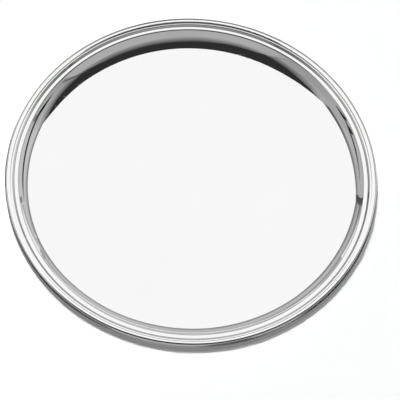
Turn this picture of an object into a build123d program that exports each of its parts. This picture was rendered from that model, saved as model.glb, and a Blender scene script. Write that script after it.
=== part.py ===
from build123d import *
from math import acos, cos, degrees, radians, sin, sqrt, tan
import os

# A shallow round coin tray of silver, in millimetres.
# The origin is the centre of the underside, on the surface that the tray stands on. +Z is up.
# Every piece is a disc or a ring about the Z axis: a section turned once round it.
# A section is drawn on the XZ plane, with its distance from the axis first and its height second.

# Tray
tray_dia = 140.0            # across the foot band, the widest piece
foot_gap = 0.2              # from the table up to the underside of the dish

# Dish, spun from one round sheet
dish_sheet = 0.5
wall_radius = 13.4          # hollow curve from the floor up to the brow, measured inside
wall_turn = 38.92           # degrees that the hollow curve turns through
brow_radius = 1.5           # rounding from the wall over to the ledge, measured outside
ledge_width = 0.9           # level ledge, from the brow out to the border
ledge_rim_round = 0.2       # rounding of the ledge's outer top edge, beside the border

# Border, a drawn moulding bent into a ring, with two reeds and a shelf
border_width = 2.78
border_step = 0.08          # from the ledge up to the foot of the inner reed's face
inner_reed_face = 28.0      # degrees that its straight inner face leans up
inner_reed_radius = 0.95
inner_reed_inset = 1.01     # from the border's inner face out to the crest
reed_step_inset = 1.43      # from there out to the step up to the outer reed
outer_reed_face = 12.5
outer_reed_radius = 1.9
outer_reed_inset = 0.74     # from the border's outer face in to the crest
outer_reed_rise = 0.6       # from the inner reed's crest up to the outer one's
lip_thickness = 0.5         # shelf of the border that the ledge lies on
lip_lap = 0.7               # how far that shelf reaches in under the ledge

# Foot band, a flat strip bent into a ring round the border
band_thickness = 0.6
band_rise = 0.37            # from the border's outer top edge up to the band's inner top edge
band_roll = 1.2             # large rounding from the band's outer face over to that edge
band_edge_round = 0.08      # rounding of the inner top edge itself
band_foot_round = 0.12

# Radii that follow, from the outside in
band_outer = tray_dia / 2
border_outer = band_outer - band_thickness
border_inner = border_outer - border_width
outer_reed = border_outer - outer_reed_inset
reed_step = border_inner + reed_step_inset
inner_reed = border_inner + inner_reed_inset
lip_inner = border_inner - lip_lap
brow_middle = border_inner - ledge_width
floor_radius = brow_middle - (wall_radius + brow_radius) * sin(radians(wall_turn))

# Heights of the dish, from the table up
floor_top = foot_gap + dish_sheet
wall_centre = floor_top + wall_radius
brow_centre = wall_centre - (wall_radius + brow_radius) * cos(radians(wall_turn))
ledge_top = brow_centre + brow_radius
ledge_under = ledge_top - dish_sheet
lip_under = ledge_under - lip_thickness

# Each reed has a straight inner face that runs smoothly into an arc over its crest.
inner_face_foot = ledge_top + border_step
inner_face_end = inner_reed - inner_reed_radius * sin(radians(inner_reed_face))
inner_face_top = inner_face_foot + (inner_face_end - border_inner) * tan(radians(inner_reed_face))
inner_centre = inner_face_top - inner_reed_radius * cos(radians(inner_reed_face))
outer_centre = inner_centre + inner_reed_radius + outer_reed_rise - outer_reed_radius
outer_face_end = outer_reed - outer_reed_radius * sin(radians(outer_reed_face))
outer_face_top = outer_centre + outer_reed_radius * cos(radians(outer_reed_face))
outer_face_foot = outer_face_top - (outer_face_end - reed_step) * tan(radians(outer_reed_face))

# The inner arc ends on the step, and the outer arc on the border's outer face.
inner_arc_end = degrees(acos((reed_step - inner_reed) / inner_reed_radius))
outer_arc_end = degrees(acos(outer_reed_inset / outer_reed_radius))
border_edge = outer_centre + sqrt(outer_reed_radius**2 - outer_reed_inset**2)

# The band's large rounding starts level from the outer face and ends over the border's outer face.
band_edge = border_edge + band_rise
roll_distance = band_outer - band_roll
roll_turn = degrees(acos((border_outer - roll_distance) / band_roll))
roll_height = band_edge - band_roll * sin(radians(roll_turn))


def corner(section, distance, height):
    """The corner of a section nearest to a distance from the axis and a height."""
    return section.vertices().sort_by_distance((distance, height))[0]


os.makedirs("parts", exist_ok=True)

# Dish: a flat floor, a hollow wall, a round brow and a level ledge, all of one sheet
with BuildPart() as dish:
    with BuildSketch(Plane.XZ) as dish_section:
        with BuildLine():
            Line((0, floor_top), (floor_radius, floor_top))
            CenterArc((floor_radius, wall_centre), wall_radius, -90, wall_turn)
            brow = CenterArc((brow_middle, brow_centre), brow_radius, 90 + wall_turn, -wall_turn)
            Line(brow @ 1, (border_inner, ledge_top))
            Line((border_inner, ledge_top), (border_inner, ledge_under))
            under_brow = CenterArc((brow_middle, brow_centre), brow_radius - dish_sheet, 90, wall_turn)
            Line((border_inner, ledge_under), under_brow @ 0)
            CenterArc((floor_radius, wall_centre), wall_radius + dish_sheet, wall_turn - 90, -wall_turn)
            Line((floor_radius, foot_gap), (0, foot_gap))
            Line((0, foot_gap), (0, floor_top))
        make_face()
        fillet(corner(dish_section, border_inner, ledge_top), radius=ledge_rim_round)
    revolve(axis=Axis.Z)
dish.part.label = "dish"
export_step(dish.part, "parts/dish.step")

# Border: a shelf under the ledge, and two reeds side by side, the outer one a step higher
with BuildPart() as border:
    with BuildSketch(Plane.XZ):
        with BuildLine():
            Line((border_inner, ledge_under), (border_inner, inner_face_foot))
            Line((border_inner, inner_face_foot), (inner_face_end, inner_face_top))
            inner_crest = CenterArc(
                (inner_reed, inner_centre),
                inner_reed_radius,
                90 + inner_reed_face,
                inner_arc_end - 90 - inner_reed_face,
            )
            Line(inner_crest @ 1, (reed_step, outer_face_foot))
            Line((reed_step, outer_face_foot), (outer_face_end, outer_face_top))
            outer_crest = CenterArc(
                (outer_reed, outer_centre),
                outer_reed_radius,
                90 + outer_reed_face,
                outer_arc_end - 90 - outer_reed_face,
            )
            Line(outer_crest @ 1, (border_outer, lip_under))
            Line((border_outer, lip_under), (lip_inner, lip_under))
            Line((lip_inner, lip_under), (lip_inner, ledge_under))
            Line((lip_inner, ledge_under), (border_inner, ledge_under))
        make_face()
    revolve(axis=Axis.Z)
border.part.label = "border"
export_step(border.part, "parts/border.step")

# Foot band: a flat strip on edge round the border, rounded over at the top to just above the outer reed
with BuildPart() as foot_band:
    with BuildSketch(Plane.XZ) as band_section:
        with BuildLine():
            Line((border_outer, 0), (band_outer, 0))
            Line((band_outer, 0), (band_outer, roll_height))
            CenterArc((roll_distance, roll_height), band_roll, 0, roll_turn)
            Line((border_outer, band_edge), (border_outer, 0))
        make_face()
        fillet(corner(band_section, border_outer, band_edge), radius=band_edge_round)
        fillet(corner(band_section, band_outer, 0), radius=band_foot_round)
    revolve(axis=Axis.Z)
foot_band.part.label = "foot_band"
export_step(foot_band.part, "parts/foot_band.step")
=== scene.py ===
import math

import bpy
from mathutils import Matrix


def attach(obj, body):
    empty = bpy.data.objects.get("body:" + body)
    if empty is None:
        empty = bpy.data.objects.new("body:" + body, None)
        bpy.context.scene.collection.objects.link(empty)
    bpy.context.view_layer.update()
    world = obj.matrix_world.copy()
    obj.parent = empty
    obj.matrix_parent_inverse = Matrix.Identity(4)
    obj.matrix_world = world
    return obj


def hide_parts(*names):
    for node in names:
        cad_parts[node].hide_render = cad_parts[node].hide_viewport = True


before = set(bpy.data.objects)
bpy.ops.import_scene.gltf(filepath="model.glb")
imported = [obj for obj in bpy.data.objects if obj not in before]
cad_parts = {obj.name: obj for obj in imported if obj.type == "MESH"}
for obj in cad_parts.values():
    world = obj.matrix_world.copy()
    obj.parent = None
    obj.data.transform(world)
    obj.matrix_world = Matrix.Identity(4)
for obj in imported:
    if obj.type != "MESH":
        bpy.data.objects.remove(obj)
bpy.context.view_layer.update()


# Dish: one round silver sheet, spun over a chuck to a flat floor, a hollow wall and a level ledge.
# It is polished to a mirror. The ledge drops on to the border's shelf and is soldered there.

foot_gap = 0.2
dish_sheet = 0.5
floor_radius = 56.36
floor_top = foot_gap + dish_sheet
wall_radius = 13.4
wall_turn = 38.92
wall_centre = floor_top + wall_radius
brow_radius = 1.5
ledge_end = 66.62
ledge_rim_round = 0.2
mm_in_metre = 1000

# Mesh: rings in the flat floor, steps in each curve, and a narrow margin where a flat meets a curve
floor_rings = (20, 40)
wall_steps = 40
brow_steps = 24
under_wall_steps = 24
under_brow_steps = 12
round_steps = 12
flat_margin = 0.06
turned_sides = 720
sharp_from = math.radians(30)


def arc(distance, height, radius, start, end, steps):
    """Points along an arc, by angles in degrees counted from straight outwards up towards +Z."""
    angles = [math.radians(start + (end - start) * step / steps) for step in range(steps + 1)]
    return [(distance + radius * math.cos(a), height + radius * math.sin(a)) for a in angles]


def turned(name, section):
    """A piece of silver turned once round Z from a section in mm, closed on itself or on the axis."""
    vertices, rings = [], []
    for distance, height in section:
        count = 1 if distance == 0 else turned_sides
        rings.append((len(vertices), count))
        for side in range(count):
            a = 2 * math.pi * side / turned_sides
            x, y = distance * math.cos(a), distance * math.sin(a)
            vertices.append((x / mm_in_metre, y / mm_in_metre, height / mm_in_metre))
    faces = []
    pairs = list(zip(rings, rings[1:]))
    if section[0][0] > 0:
        pairs.append((rings[-1], rings[0]))
    for (first, first_count), (second, second_count) in pairs:
        for side in range(turned_sides):
            after = (side + 1) % turned_sides
            if first_count == 1:
                faces.append((first, second + side, second + after))
            elif second_count == 1:
                faces.append((first + side, second, first + after))
            else:
                faces.append((first + side, second + side, second + after, first + after))
    mesh = bpy.data.meshes.new(name)
    mesh.from_pydata(vertices, [], faces)
    mesh.validate()
    mesh.shade_smooth()
    mesh.set_sharp_from_angle(angle=sharp_from)
    piece = bpy.data.objects.new(name, mesh)
    bpy.context.scene.collection.objects.link(piece)
    return piece


turn = math.radians(wall_turn)
brow_distance = floor_radius + (wall_radius + brow_radius) * math.sin(turn)
brow_height = wall_centre - (wall_radius + brow_radius) * math.cos(turn)
ledge_top = brow_height + brow_radius
ledge_under = ledge_top - dish_sheet
round_distance = ledge_end - ledge_rim_round
round_height = ledge_top - ledge_rim_round

# The section runs out along the upper side and back along the underside
dish_section = [(0, floor_top)]
dish_section += [(ring, floor_top) for ring in floor_rings]
dish_section += [(floor_radius - flat_margin, floor_top)]
dish_section += arc(floor_radius, wall_centre, wall_radius, -90, wall_turn - 90, wall_steps)
dish_section += arc(brow_distance, brow_height, brow_radius, 90 + wall_turn, 90, brow_steps)[1:]
dish_section += [(round_distance - flat_margin, ledge_top)]
dish_section += arc(round_distance, round_height, ledge_rim_round, 90, 0, round_steps)
dish_section += [(ledge_end, ledge_under)]
dish_section += arc(
    brow_distance, brow_height, brow_radius - dish_sheet, 90, 90 + wall_turn, under_brow_steps
)
dish_section += arc(
    floor_radius, wall_centre, wall_radius + dish_sheet, wall_turn - 90, -90, under_wall_steps
)[1:]
dish_section += [(ring, foot_gap) for ring in reversed(floor_rings)]
dish_section += [(0, foot_gap)]
dish = turned("dish_polished", dish_section)

# Polish: how far clouds of haze darken and lighten the silver, two sets of hairline scratches, each by
# its turn in degrees and its scale, how much they dull and cut it, the height of that relief in metres,
# and the colour of the tarnish and painted shade along a groove between parts
cloud_dark = 0.014
cloud_light = 0.012
scratch_sets = ((35, (60, 1500, 60)), (-52, (45, 1900, 45)))
scratch_haze = 0.12
scratch_cut = -1.0
relief_height = 0.0000015
tarnish_and_shade_brown = (0.36, 0.34, 0.31, 1)


def silver(name, colour, roughness, haze, groove):
    """Polished silver: clouds of haze, turned lines, hairline scratches, and tarnish with painted shade along
    a groove.
    """
    material = bpy.data.materials.new(name)
    material.use_nodes = True
    nodes, links = material.node_tree.nodes, material.node_tree.links
    shader = nodes["Principled BSDF"]
    shader.inputs["Metallic"].default_value = 1.0
    place = nodes.new("ShaderNodeTexCoord")

    clouds = nodes.new("ShaderNodeTexNoise")
    clouds.inputs["Scale"].default_value = 45.0
    clouds.inputs["Detail"].default_value = 4.0
    links.new(place.outputs["Object"], clouds.inputs["Vector"])
    tint = nodes.new("ShaderNodeMix")
    tint.data_type = "RGBA"
    tint.inputs["A"].default_value = (*[part - cloud_dark for part in colour], 1)
    tint.inputs["B"].default_value = (*[part + cloud_light for part in colour], 1)
    links.new(clouds.outputs["Fac"], tint.inputs["Factor"])

    # The distance from the axis, in metres
    level = nodes.new("ShaderNodeVectorMath")
    level.operation = "MULTIPLY"
    level.inputs[1].default_value = (1, 1, 0)
    links.new(place.outputs["Object"], level.inputs[0])
    distance = nodes.new("ShaderNodeVectorMath")
    distance.operation = "LENGTH"
    links.new(level.outputs["Vector"], distance.inputs[0])

    # Tarnish and painted shade of the crease darken the silver along the groove and fade out within a tenth
    # of a millimetre or two on both sides
    aside = nodes.new("ShaderNodeMath")
    aside.operation = "SUBTRACT"
    aside.inputs[1].default_value = groove / mm_in_metre
    links.new(distance.outputs["Value"], aside.inputs[0])
    away = nodes.new("ShaderNodeMath")
    away.operation = "ABSOLUTE"
    links.new(aside.outputs[0], away.inputs[0])
    tarnish_and_crease_shade = nodes.new("ShaderNodeMapRange")
    tarnish_and_crease_shade.inputs["From Min"].default_value = 0.00003
    tarnish_and_crease_shade.inputs["From Max"].default_value = 0.00016
    tarnish_and_crease_shade.inputs["To Min"].default_value = 0.3
    tarnish_and_crease_shade.inputs["To Max"].default_value = 0.0
    links.new(away.outputs[0], tarnish_and_crease_shade.inputs["Value"])
    dulled = nodes.new("ShaderNodeMix")
    dulled.data_type = "RGBA"
    dulled.inputs["B"].default_value = tarnish_and_shade_brown
    links.new(tarnish_and_crease_shade.outputs["Result"], dulled.inputs["Factor"])
    links.new(tint.outputs["Result"], dulled.inputs["A"])
    links.new(dulled.outputs["Result"], shader.inputs["Base Color"])

    # Two sets of hairline scratches, crossing each other
    marks = []
    for turned_by, reach in scratch_sets:
        lay = nodes.new("ShaderNodeMapping")
        lay.inputs["Rotation"].default_value = (0, 0, math.radians(turned_by))
        lay.inputs["Scale"].default_value = reach
        links.new(place.outputs["Object"], lay.inputs["Vector"])
        streaks = nodes.new("ShaderNodeTexNoise")
        streaks.inputs["Scale"].default_value = 1.0
        streaks.inputs["Detail"].default_value = 1.0
        links.new(lay.outputs["Vector"], streaks.inputs["Vector"])
        mark = nodes.new("ShaderNodeMapRange")
        mark.inputs["From Min"].default_value = 0.70
        mark.inputs["From Max"].default_value = 0.76
        links.new(streaks.outputs["Fac"], mark.inputs["Value"])
        marks.append(mark)
    scratches = nodes.new("ShaderNodeMath")
    scratches.operation = "MAXIMUM"
    links.new(marks[0].outputs["Result"], scratches.inputs[0])
    links.new(marks[1].outputs["Result"], scratches.inputs[1])

    polish = nodes.new("ShaderNodeMapRange")
    polish.inputs["From Min"].default_value = 0.3
    polish.inputs["From Max"].default_value = 0.7
    polish.inputs["To Min"].default_value = roughness
    polish.inputs["To Max"].default_value = roughness + haze
    links.new(clouds.outputs["Fac"], polish.inputs["Value"])
    rubbed = nodes.new("ShaderNodeMath")
    rubbed.operation = "MULTIPLY_ADD"
    rubbed.inputs[1].default_value = scratch_haze
    links.new(scratches.outputs[0], rubbed.inputs[0])
    links.new(polish.outputs["Result"], rubbed.inputs[2])
    links.new(rubbed.outputs[0], shader.inputs["Roughness"])

    # Round lines from the wheel and the scratches stand in a very low relief
    spun = nodes.new("ShaderNodeTexNoise")
    spun.noise_dimensions = "1D"
    spun.inputs["Scale"].default_value = 3000.0
    spun.inputs["Detail"].default_value = 2.0
    links.new(distance.outputs["Value"], spun.inputs["W"])
    relief = nodes.new("ShaderNodeMath")
    relief.operation = "MULTIPLY_ADD"
    relief.inputs[1].default_value = scratch_cut
    links.new(scratches.outputs[0], relief.inputs[0])
    links.new(spun.outputs["Fac"], relief.inputs[2])
    bump = nodes.new("ShaderNodeBump")
    bump.inputs["Strength"].default_value = 0.3
    bump.inputs["Distance"].default_value = relief_height
    links.new(relief.outputs[0], bump.inputs["Height"])
    links.new(bump.outputs["Normal"], shader.inputs["Normal"])
    return material


dish.data.materials.append(
    silver("dish_silver", colour=(0.95, 0.95, 0.948), roughness=0.02, haze=0.02, groove=ledge_end)
)
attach(dish, "root")
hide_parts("dish")


# Border: a drawn silver moulding bent into a ring, with two reeds, the outer one wider and higher.
# A shelf under its inner edge carries the ledge, and the two are soldered together. It is mirror polished.

border_outer = 69.4
border_step = 0.08
inner_reed_face = 28
inner_reed_radius = 0.95
inner_reed_inset = 1.01
reed_step_inset = 1.43
outer_reed_face = 12.5
outer_reed_radius = 1.9
outer_reed_inset = 0.74
outer_reed_rise = 0.6
lip_lap = 0.7
lip_thickness = 0.5
lip_inner = ledge_end - lip_lap
lip_under = ledge_under - lip_thickness
inner_reed_steps = 24
outer_reed_steps = 32

# Inner reed: a straight face leans out from the ledge and runs into a round crest
face = math.radians(inner_reed_face)
inner_reed = ledge_end + inner_reed_inset
face_foot = ledge_top + border_step
face_width = inner_reed_inset - inner_reed_radius * math.sin(face)
inner_reed_height = face_foot + face_width * math.tan(face) - inner_reed_radius * math.cos(face)
inner_reed_top = inner_reed_height + inner_reed_radius

# Outer reed: the same, wider, flatter and one step higher
slope = math.radians(outer_reed_face)
outer_reed = border_outer - outer_reed_inset
outer_reed_height = inner_reed_top + outer_reed_rise - outer_reed_radius
step_distance = ledge_end + reed_step_inset
step_angle = math.degrees(math.acos((step_distance - inner_reed) / inner_reed_radius))
slope_width = outer_reed - outer_reed_radius * math.sin(slope) - step_distance
step_top = outer_reed_height + outer_reed_radius * math.cos(slope) - slope_width * math.tan(slope)
outer_end = math.degrees(math.acos(outer_reed_inset / outer_reed_radius))

border_section = [(ledge_end, face_foot)]
border_section += arc(
    inner_reed, inner_reed_height, inner_reed_radius, 90 + inner_reed_face, step_angle, inner_reed_steps
)
border_section += [(step_distance, step_top)]
border_section += arc(
    outer_reed, outer_reed_height, outer_reed_radius, 90 + outer_reed_face, outer_end, outer_reed_steps
)
border_section += [(border_outer, lip_under), (lip_inner, lip_under), (lip_inner, ledge_under)]
border_section += [(ledge_end, ledge_under)]
border = turned("border_reeded", border_section)

# The tarnish and painted crease shade on the border's side of the groove lie just outside the ledge
groove_offset = 0.05
border_groove = ledge_end + groove_offset
border.data.materials.append(
    silver("border_silver", colour=(0.95, 0.95, 0.948), roughness=0.03, haze=0.03, groove=border_groove)
)
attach(border, "root")
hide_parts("border")


# Foot band: a flat silver strip stood on edge, bent round the border and soldered to it.
# Its top is rounded over, and the tray stands on its lower edge. It is a little duller than the dish.

band_outer = 70.0
band_rise = 0.37
band_roll = 1.2
band_edge_round = 0.08
band_foot_round = 0.12
roll_steps = 32
foot_round_steps = 6

# The top rolls over from the outer face to a small round edge that stands just proud of the outer reed
border_edge = outer_reed_height + math.sqrt(outer_reed_radius**2 - outer_reed_inset**2)
roll_distance = band_outer - band_roll
roll_inset = border_outer - roll_distance
roll_height = border_edge + band_rise - math.sqrt(band_roll**2 - roll_inset**2)
edge_inset = roll_inset + band_edge_round
edge_reach = band_roll - band_edge_round
edge_rise = math.sqrt(edge_reach**2 - edge_inset**2)
edge_turn = math.degrees(math.acos(edge_inset / edge_reach))
edge_distance = roll_distance + edge_inset
edge_height = roll_height + edge_rise
foot_distance = band_outer - band_foot_round

band_section = [(border_outer, 0)]
band_section += arc(foot_distance, band_foot_round, band_foot_round, -90, 0, foot_round_steps)
band_section += [(band_outer, band_foot_round + flat_margin), (band_outer, roll_height - flat_margin)]
band_section += arc(roll_distance, roll_height, band_roll, 0, edge_turn, roll_steps)
band_section += arc(edge_distance, edge_height, band_edge_round, edge_turn, 180, round_steps)[1:]
foot_band = turned("foot_band_strip", band_section)
foot_band.data.materials.append(
    silver("band_silver", colour=(0.90, 0.90, 0.895), roughness=0.08, haze=0.04, groove=border_outer)
)
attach(foot_band, "root")
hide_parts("foot_band")


# Floor: a plain sheet of white paper that the tray stands on, out to where it meets the white backdrop.
# It glows a little, so that it shows as white as the backdrop, and it keeps the tray's narrow shadow.

floor_reach = 6.0
paper_white = (0.96, 0.96, 0.96, 1)
paper_glow = 0.18

floor_mesh = bpy.data.meshes.new("floor_sheet")
corners = [(-1, -1), (1, -1), (1, 1), (-1, 1)]
floor_mesh.from_pydata([(floor_reach * x, floor_reach * y, 0) for x, y in corners], [], [(0, 1, 2, 3)])
floor = bpy.data.objects.new("floor_sheet", floor_mesh)
bpy.context.scene.collection.objects.link(floor)


def shown(nodes, links):
    """1 on the rays that show the picture, straight or by way of metal or glass, and 0 on all others."""
    path = nodes.new("ShaderNodeLightPath")
    straight = nodes.new("ShaderNodeMath")
    straight.operation = "MAXIMUM"
    links.new(path.outputs["Is Camera Ray"], straight.inputs[0])
    links.new(path.outputs["Is Glossy Ray"], straight.inputs[1])
    either = nodes.new("ShaderNodeMath")
    either.operation = "MAXIMUM"
    links.new(straight.outputs[0], either.inputs[0])
    links.new(path.outputs["Is Transmission Ray"], either.inputs[1])
    return either.outputs[0]


paper = bpy.data.materials.new("floor_paper")
paper.use_nodes = True
nodes, links = paper.node_tree.nodes, paper.node_tree.links
nodes.clear()
output = nodes.new("ShaderNodeOutputMaterial")
matt = nodes.new("ShaderNodeBsdfDiffuse")
matt.inputs["Color"].default_value = paper_white
glow = nodes.new("ShaderNodeEmission")
strength = nodes.new("ShaderNodeMath")
strength.operation = "MULTIPLY"
strength.inputs[1].default_value = paper_glow
links.new(shown(nodes, links), strength.inputs[0])
links.new(strength.outputs[0], glow.inputs["Strength"])
both = nodes.new("ShaderNodeAddShader")
links.new(matt.outputs[0], both.inputs[0])
links.new(glow.outputs[0], both.inputs[1])
links.new(both.outputs[0], output.inputs[0])
floor.data.materials.append(paper)


# Studio: a light tent of plain cards, far off on all sides, that only the polish of the silver shows.
# A white panel slopes up behind the tray to a black hood overhead; the four walls are grey.

black = 0.027
white = 0.98
card_paint = bpy.data.materials.new("card_paint")
card_paint.use_nodes = True
nodes, links = card_paint.node_tree.nodes, card_paint.node_tree.links
nodes.clear()
output = nodes.new("ShaderNodeOutputMaterial")
glow = nodes.new("ShaderNodeEmission")
level = nodes.new("ShaderNodeAttribute")
level.attribute_name = "light"
links.new(level.outputs["Color"], glow.inputs["Color"])
links.new(glow.outputs[0], output.inputs[0])


def hang(name, vertices, faces, lights):
    """Hangs a card in the tent, with a light at each corner, where only the silver's polish shows it."""
    mesh = bpy.data.meshes.new(name)
    mesh.from_pydata(vertices, [], faces)
    shade = mesh.color_attributes.new("light", "FLOAT_COLOR", "POINT")
    for entry, light in zip(shade.data, lights):
        entry.color = (light, light, light, 1)
    piece = bpy.data.objects.new(name, mesh)
    bpy.context.scene.collection.objects.link(piece)
    piece.data.materials.append(card_paint)
    piece.visible_camera = False
    piece.visible_diffuse = False
    piece.visible_shadow = False
    piece.visible_transmission = False


def direction(azimuth, height):
    """The way from the tray to a point of the tent, by degrees round from the back and degrees up."""
    a, h = math.radians(azimuth), math.radians(height)
    return (math.sin(a) * math.cos(h), math.cos(a) * math.cos(h), math.sin(h))


def card(name, distance, upper, lower):
    """A card between two rows of (azimuth, height, light), lit evenly from each corner to the next."""
    points = upper + lower
    vertices = [[distance * part for part in direction(azimuth, height)] for azimuth, height, light in points]
    count = len(upper)
    faces = [(i, i + 1, count + i + 1, count + i) for i in range(count - 1)]
    hang(name, vertices, faces, [light for azimuth, height, light in points])


def plain_card(name, distance, light, upper, lower):
    """A card of one light all over, between two rows of (azimuth, height)."""
    card(name, distance, [(*corner, light) for corner in upper], [(*corner, light) for corner in lower])


def wall(name, columns):
    """A wall of the tent from columns of (azimuth, top height, light at the top, light at the foot)."""
    upper = [(azimuth, top, light) for azimuth, top, light, low in columns]
    lower = [(azimuth, 0, low) for azimuth, top, light, low in columns]
    card(name, wall_distance, upper, lower)


wall_distance = 4.0
wall("left_wall", [
    (-128, 66, 0.30, 0.38), (-105, 66, 0.31, 0.38), (-90, 65, 0.38, 0.45), (-75, 60, 0.50, 0.42),
    (-54, 46, 0.48, 0.38),
])
wall("back_wall", [
    (-54, 46, 0.42, 0.42), (-30, 40, 0.52, 0.45), (0, 34, 0.50, 0.45), (31, 34, 0.55, 0.55),
])
wall("right_wall", [
    (31, 30, 0.55, 0.50), (45, 45, 0.58, 0.55), (60, 54, 0.58, 0.55), (75, 54, 0.40, 0.50),
    (98, 57, 0.24, 0.42),
])
wall("front_wall_right", [(98, 50, 0.43, 0.43), (130, 62, 0.43, 0.43), (165, 62, 0.42, 0.42)])
wall("front_wall_left", [(165, 62, 0.42, 0.42), (200, 62, 0.43, 0.43), (232, 62, 0.38, 0.42)])

# The hood: black overhead, fading to grey towards the front
hood_distance = 4.2
fade_distance = 4.19
plain_card("hood_left", hood_distance, black, [(-100, 90), (-70, 90)], [(-130, 62), (-78, 56)])
plain_card("hood_back", hood_distance, black, [(-70, 90), (60, 90)], [(-78, 56), (61, 52)])
plain_card("hood_right", hood_distance, black, [(60, 90), (98, 90)], [(61, 52), (98, 53)])
plain_card("hood_front", hood_distance, black,
           [(98, 90), (120, 90), (150, 90), (180, 90), (210, 90), (232, 90)],
           [(98, 70), (120, 77), (150, 81), (180, 80.5), (210, 76), (232, 70)])
card("hood_front_fade", fade_distance,
     [(98, 70.5, black), (120, 77.5, black), (150, 81.5, black), (180, 81, black), (210, 76.5, black),
      (232, 70.5, black)],
     [(98, 49, 0.38), (120, 53, 0.42), (150, 61, 0.42), (180, 61, 0.42), (210, 59, 0.42),
      (232, 60, 0.34)])

# The white panel, round-shouldered at the top and coming to a blunt point at the bottom
panel_distance = 3.0
plain_card("panel_upper", panel_distance, white,
           [(-78.5, 60), (-74.3, 66.2), (-60, 72.6), (-45, 75), (-30, 76), (-15, 76),
            (0, 75.4), (15, 74.6), (30, 73.1), (45, 69.9), (54.7, 61.8), (61, 53.5)],
           [(-75.5, 60), (-70.5, 57.3), (-64.8, 52.9), (-56.6, 44.5), (-50, 35), (-36, 33),
            (-20, 33), (-4, 33), (12, 33), (28, 33), (38.5, 33.5), (52, 47)])
plain_card("panel_lower", panel_distance, white,
           [(-50, 35), (-36, 33), (-20, 33), (-4, 33), (12, 33), (28, 33), (38.5, 33.5)],
           [(-49.5, 34.5), (-36, 31), (-20, 26.1), (-4, 21.2), (12, 19.6), (24, 21.8), (32, 26)])

# The panel hangs in a soft grey surround that is darkest along its edges
surround_distance = 3.06
card("surround_left", surround_distance,
     [(-79, 60.5, 0.02), (-69.5, 57, 0.05), (-60, 48.5, 0.10), (-50, 36, 0.14)],
     [(-83, 54.5, 0.14), (-73.5, 49.5, 0.22), (-64, 40.5, 0.38), (-54, 31, 0.38)])
card("surround_below", surround_distance,
     [(-52, 36, 0.08), (-40, 32.5, 0.10), (-28, 29, 0.11), (-14, 25, 0.13), (0, 21, 0.20),
      (14, 20.3, 0.22), (24, 22.3, 0.13), (33, 27, 0.10)],
     [(-55, 26, 0.34), (-42, 22.5, 0.48), (-30, 17.5, 0.58), (-15, 12.5, 0.62), (0, 7.5, 0.56),
      (14, 7.5, 0.62), (26, 12, 0.58), (36, 17, 0.56)])
card("surround_right", surround_distance,
     [(63, 55, 0.08), (54, 48, 0.14), (44, 38, 0.17), (33, 26, 0.14)],
     [(68, 50, 0.40), (59, 42, 0.55), (50, 32, 0.60), (38, 20, 0.55)])

# Soft shade under the hood at the left and at the right
near = 3.2
card("shade_left", near,
     [(-128, 66.5, 0.06), (-105, 66, 0.08), (-88, 63.5, 0.10)],
     [(-128, 52, 0.38), (-105, 51, 0.38), (-88, 53, 0.48)])
card("shade_right", near,
     [(62, 55, 0.16), (75, 55, 0.10), (93, 59, 0.05)],
     [(62, 47, 0.50), (75, 41, 0.50), (93, 44, 0.38)])

# Dark seams where the walls meet
seam_distance = 3.1
back_seam_distance = 3.05
card("seam_left", seam_distance,
     [(-129.5, 65, 0.16), (-127, 65, 0.22)],
     [(-129, 44, 0.32), (-127.5, 44, 0.34)])
card("seam_right", seam_distance,
     [(91, 64, black), (94, 64, black)],
     [(97.5, 36, 0.16), (100.5, 36, 0.24)])
card("seam_back_left", back_seam_distance,
     [(-52.5, 35, 0.06), (-50.2, 35, 0.10)],
     [(-57, 10, 0.05), (-54, 10, 0.12)])
card("seam_back_right", seam_distance,
     [(30.5, 23, 0.22), (32.5, 23, 0.30)],
     [(30, 4, 0.36), (32.5, 4, 0.42)])

# A black clip on each side wall holds the tent, with an arm along the wall and a foot below
clip_distance = 3.15
clip_foot_distance = 3.14
card("clip_left", clip_distance,
     [(-94.2, 37, 0.02), (-91.8, 36.9, 0.01), (-88.6, 36.6, 0.005), (-86.9, 35.5, 0.01)],
     [(-94.2, 35.5, 0.02), (-91.8, 33, 0.01), (-88.6, 30, 0.005), (-86.9, 29, 0.01)])
card("clip_left_arm", near,
     [(-86.8, 34.5, 0.14), (-84, 34.5, 0.05), (-79, 35, 0.03), (-72, 34, 0.03), (-60, 30.5, 0.30)],
     [(-86.8, 31, 0.14), (-84, 31, 0.05), (-79, 31.5, 0.03), (-72, 30, 0.03), (-60, 27.5, 0.30)])
card("clip_left_foot", clip_foot_distance,
     [(-84, 34.5, 0.02), (-80.4, 35, 0.02)],
     [(-84, 29, 0.02), (-80.4, 27, 0.02)])
card("clip_right", clip_distance,
     [(77.5, 35.5, 0.01), (81.5, 38, 0.005), (86.5, 38.4, 0.01), (90.3, 37, 0.02)],
     [(77.5, 27, 0.01), (81.5, 31, 0.005), (86.5, 34.6, 0.01), (90.3, 36.3, 0.02)])
card("clip_right_arm", near,
     [(46, 26, 0.42), (52, 29, 0.10), (60, 32, 0.03), (68, 34, 0.03), (77.6, 36, 0.06)],
     [(46, 21, 0.46), (52, 23.5, 0.10), (60, 27, 0.03), (68, 29.5, 0.03), (77.6, 31, 0.06)])
card("clip_right_foot", clip_foot_distance,
     [(76.5, 34, 0.03), (80.5, 34, 0.03)],
     [(76.5, 26, 0.25), (80, 26, 0.25)])

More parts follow.
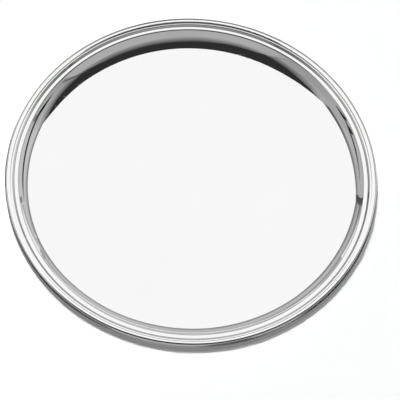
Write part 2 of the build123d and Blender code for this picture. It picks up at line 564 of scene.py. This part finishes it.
# Folds low in the back wall, a pin beside the right one, and light that comes in under the wall
card("fold_left", near,
     [(-53, 21.5, 0.14), (-44, 17, 0.22), (-30, 10.5, 0.26), (-12, 4, 0.28)],
     [(-54, 15, 0.22), (-44, 12, 0.30), (-30, 5.5, 0.30), (-12, -1, 0.32)])
card("fold_right", near,
     [(46, 19, 0.40), (34, 13.5, 0.36), (22, 7.5, 0.40)],
     [(46, 14.5, 0.40), (34, 9, 0.38), (22, 2, 0.42)])
card("pin_right", near, [(47, 18, 0.30), (49, 18, 0.30)], [(47, 11, 0.20), (49, 11, 0.20)])
card("glow_left", seam_distance,
     [(-50, 12, 0.75), (-36.5, 11, 0.80)],
     [(-43, 2, 0.85), (-36.5, 2, 0.85)])
card("glow_right", seam_distance,
     [(32.5, 12, 0.75), (45, 11.5, 0.80)],
     [(31, 1, 0.85), (40, 1, 0.85)])

# Dark stands that carry the tent at the right, the front and the left
card("stand_right", near,
     [(80, 21, 0.03), (98, 27, 0.02), (124, 25, 0.02)],
     [(80, -4, 0.03), (98, -4, 0.02), (124, -4, 0.02)])
card("stand_front", near, [(148, 25, 0.05), (168, 25, 0.05)], [(148, -4, 0.05), (168, -4, 0.05)])
card("stand_left", near,
     [(-148, 25, 0.07), (-122, 25, 0.04), (-104, 26, 0.04), (-88, 26, 0.15)],
     [(-148, -4, 0.07), (-122, -4, 0.04), (-104, -4, 0.04), (-88, -4, 0.15)])

# Painted shade on the floor: a strip all round the tray, with a painted shadow of the tray in grey beside the
# foot band and painted shade further out, and six soft painted pools of light on it. A pool is (start, full
# from, full to, end, light), in degrees round. Only the foot band and the border's outer edge show the strip.
strip_radii = (0.0702, 0.0714, 0.0724, 0.25)
strip_height = 0.0001
strip_sides = 180
strip_start = -134
# The grey is a painted shadow of the tray on the floor, the dark is painted shade, and the pools are painted
# light
painted_shadow_grey = 0.25
painted_shade_dark = 0.035
fade_curve = 1.5
painted_light_pools = [
    (-134, -103, -97, -90, 0.18),
    (-79, -64, -49, -29, 0.95),
    (-13, 11, 13, 36, 0.60),
    (47, 63, 84, 99, 0.60),
    (134, 146, 147, 163, 0.20),
    (156, 178, 192, 226, 0.28),
]


def painted_pool_light(azimuth):
    """The painted light on the painted-shade part of the strip at an azimuth, from the painted pools that
    reach there.
    """
    light = painted_shade_dark
    for start, full_from, full_to, end, pool_light in painted_light_pools:
        part = min((azimuth - start) / (full_from - start), 1, (end - azimuth) / (end - full_to))
        light += (pool_light - painted_shade_dark) * max(part, 0) ** fade_curve
    return light


strip_points, strip_lights = [], []
for ring, radius in enumerate(strip_radii):
    for side in range(strip_sides):
        azimuth = strip_start + 360 * side / strip_sides
        a = math.radians(azimuth)
        strip_points.append((radius * math.sin(a), radius * math.cos(a), strip_height))
        strip_lights.append(painted_pool_light(azimuth) if ring > 1 else painted_shadow_grey)
strip_faces = []
for ring in range(len(strip_radii) - 1):
    for side in range(strip_sides):
        after = (side + 1) % strip_sides
        first, second = ring * strip_sides, (ring + 1) * strip_sides
        strip_faces.append((first + side, first + after, second + after, second + side))
# The strip is painted shadow, shade and light on the floor, and only the silver's polish shows it
hang("painted_shadow_strip", strip_points, strip_faces, strip_lights)


# Light: the world is a white backdrop to the eye and in the silver, and a faint even light on the floor.
# One round lamp high above, a little to the left, lights the floor and gives the tray its narrow shadow.

world = bpy.data.worlds.new("backdrop")
bpy.context.scene.world = world
world.use_nodes = True
nodes, links = world.node_tree.nodes, world.node_tree.links
nodes.clear()
output = nodes.new("ShaderNodeOutputWorld")
backdrop = nodes.new("ShaderNodeBackground")
backdrop.inputs["Strength"].default_value = 1.0
fill = nodes.new("ShaderNodeBackground")
fill.inputs["Strength"].default_value = 0.12
choose = nodes.new("ShaderNodeMixShader")
links.new(shown(nodes, links), choose.inputs[0])
links.new(fill.outputs[0], choose.inputs[1])
links.new(backdrop.outputs[0], choose.inputs[2])
links.new(choose.outputs[0], output.inputs[0])

lamp_data = bpy.data.lights.new("soft_lamp", "AREA")
lamp_data.shape = "DISK"
lamp_data.size = 0.2
lamp_data.energy = 17.5
lamp = bpy.data.objects.new("soft_lamp", lamp_data)
lamp_reach = 1.5
lamp_lean = math.radians(9.5)
lamp_side = math.radians(-67)
lamp.location = (
    lamp_reach * math.sin(lamp_lean) * math.sin(lamp_side),
    lamp_reach * math.sin(lamp_lean) * math.cos(lamp_side),
    lamp_reach * math.cos(lamp_lean),
)
lamp.rotation_euler = (lamp_lean, 0, math.pi - lamp_side)
lamp.visible_glossy = False
lamp.visible_camera = False
bpy.context.scene.collection.objects.link(lamp)


# Camera: in front of the tray and well above it, turned a little, so that the rim fills the frame's width.

camera_turn = (27.5463, -1.9699, 3.1099)
camera_data = bpy.data.cameras.new("camera")
camera_data.sensor_width = 36
camera_data.lens = 167.4
camera = bpy.data.objects.new("camera", camera_data)
camera.location = (0, -0.33229, 0.62035)
camera.rotation_euler = [math.radians(angle) for angle in camera_turn]
bpy.context.scene.collection.objects.link(camera)
bpy.context.scene.camera = camera
bpy.context.scene.view_settings.view_transform = "Standard"
